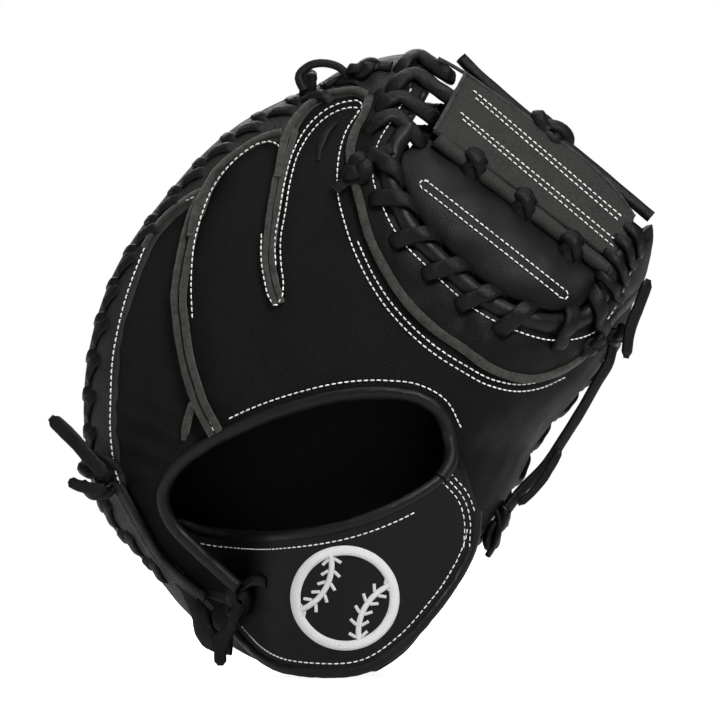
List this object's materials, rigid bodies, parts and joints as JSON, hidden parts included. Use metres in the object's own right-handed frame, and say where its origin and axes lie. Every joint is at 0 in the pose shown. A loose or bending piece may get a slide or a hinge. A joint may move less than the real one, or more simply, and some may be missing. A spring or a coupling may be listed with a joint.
{
  "type": "catcher's mitt",
  "caption": "Padded catcher's mitt for the left hand, with a closed laced web, a mesh back, an open-back wrist strap and loose lace tails.",
  "frame": {"origin": "on the flat end of the heel, below the middle of the wrist strap, level with the mitt's resting face", "axes": "+Z from the heel to the finger tips, +X towards the thumb, +Y out of the pocket; the back of the hand faces -Y"},
  "size_m": [0.2929, 0.1657, 0.3007],
  "materials": {
    "black_leather": "satin",
    "mesh_fabric": "matt weave",
    "grey_suede": "suede",
    "rawhide_lace": "matt",
    "felt_padding": "felt",
    "lining_fabric": "matt",
    "white_thread": "satin thread"
  },
  "bodies": {
    "mitt": {"finger_back_shell": "mesh_fabric", "finger_rim_pad": "felt_padding", "finger_stall_lining": "lining_fabric", "finger_stall_wall": "black_leather", "finger_top_knot": "rawhide_lace", "finger_top_loop": "rawhide_lace", "hand_opening_piping": "black_leather", "heel_pad": "felt_padding", "heel_side_lace": "rawhide_lace", "index_tip_lace": "rawhide_lace", "index_top_lace": "rawhide_lace", "middle_channel_strip": "grey_suede", "palm_lining": "lining_fabric", "palm_pad": "felt_padding", "palm_shell_finger_side": "black_leather", "perimeter_lace_fingers": "rawhide_lace", "pinky_channel_strip": "grey_suede", "pinky_knot": "rawhide_lace", "web_back_panel_finger_half": "mesh_fabric", "web_flap_finger_half": "black_leather", "web_front_panel_finger_half": "black_leather", "web_knot_fingers": "rawhide_lace", "web_knot_middle": "rawhide_lace", "web_lace_finger_side": "rawhide_lace", "web_lace_knot": "rawhide_lace", "web_opening_roll_finger_side": "black_leather", "web_opening_strip": "grey_suede", "web_top_lace_finger_half": "rawhide_lace"},
    "thumb_side": {"palm_shell_thumb_side": "black_leather", "thumb_back_shell": "mesh_fabric", "thumb_pad": "felt_padding", "thumb_stall_lining": "lining_fabric", "thumb_rim_pad": "felt_padding", "web_opening_roll_thumb_side": "black_leather", "thumb_stall_wall": "black_leather", "web_front_panel_thumb_half": "black_leather", "web_back_panel_thumb_half": "mesh_fabric", "web_flap_thumb_half": "black_leather", "web_top_lace_thumb_half": "rawhide_lace", "web_knot_thumb": "rawhide_lace", "perimeter_lace_thumb": "rawhide_lace", "web_lace_thumb_side": "rawhide_lace", "thumb_knot": "rawhide_lace", "thumb_loop": "rawhide_lace", "thumb_tip_lace": "rawhide_lace"},
    "strap": {"wrist_strap": "black_leather", "strap_lining": "lining_fabric", "strap_emblem": "white_thread"},
    "pinky_tail_upper": {"pinky_tail_upper": "rawhide_lace"},
    "pinky_tail_lower": {"pinky_tail_lower": "rawhide_lace"},
    "heel_tail": {"heel_tail": "rawhide_lace"},
    "thumb_tail": {"thumb_tail": "rawhide_lace"},
    "thumb_tip_tail": {"thumb_tip_tail": "rawhide_lace"}
  },
  "joints": [
    {"name": "thumb_close", "type": "hinge", "parent": "mitt", "child": "thumb_side", "pos_m": [0.036, -0.024, 0], "axis": [0.2246, 0, 0.9745], "range_deg": [-5, 25]},
    {"name": "strap_turn", "type": "hinge", "parent": "thumb_side", "child": "strap", "pos_m": [0.056, -0.061, 0.06], "axis": [0.2246, 0, 0.9745], "range_deg": [-25, 5]},
    {"name": "pinky_tail_upper_swing", "type": "hinge", "parent": "mitt", "child": "pinky_tail_upper", "pos_m": [-0.123, -0.003, 0.099], "axis": [0, 1, 0], "range_deg": [-15, 15]},
    {"name": "pinky_tail_lower_swing", "type": "hinge", "parent": "mitt", "child": "pinky_tail_lower", "pos_m": [-0.117, -0.007, 0.085], "axis": [0, 1, 0], "range_deg": [-12, 12]},
    {"name": "heel_tail_swing", "type": "hinge", "parent": "mitt", "child": "heel_tail", "pos_m": [-0.06, -0.039, 0.02], "axis": [0, 1, 0], "range_deg": [-15, 15]},
    {"name": "thumb_tail_swing", "type": "hinge", "parent": "thumb_side", "child": "thumb_tail", "pos_m": [0.089, -0.027, 0.086], "axis": [0, 1, 0], "range_deg": [-12, 12]},
    {"name": "thumb_tip_tail_swing", "type": "hinge", "parent": "thumb_side", "child": "thumb_tip_tail", "pos_m": [0.143, -0.023, 0.176], "axis": [0, 1, 0], "range_deg": [-12, 12]}
  ],
  "couplings": [
    {"joint": "strap_turn", "follows": "thumb_close", "ratio": -1}
  ]
}
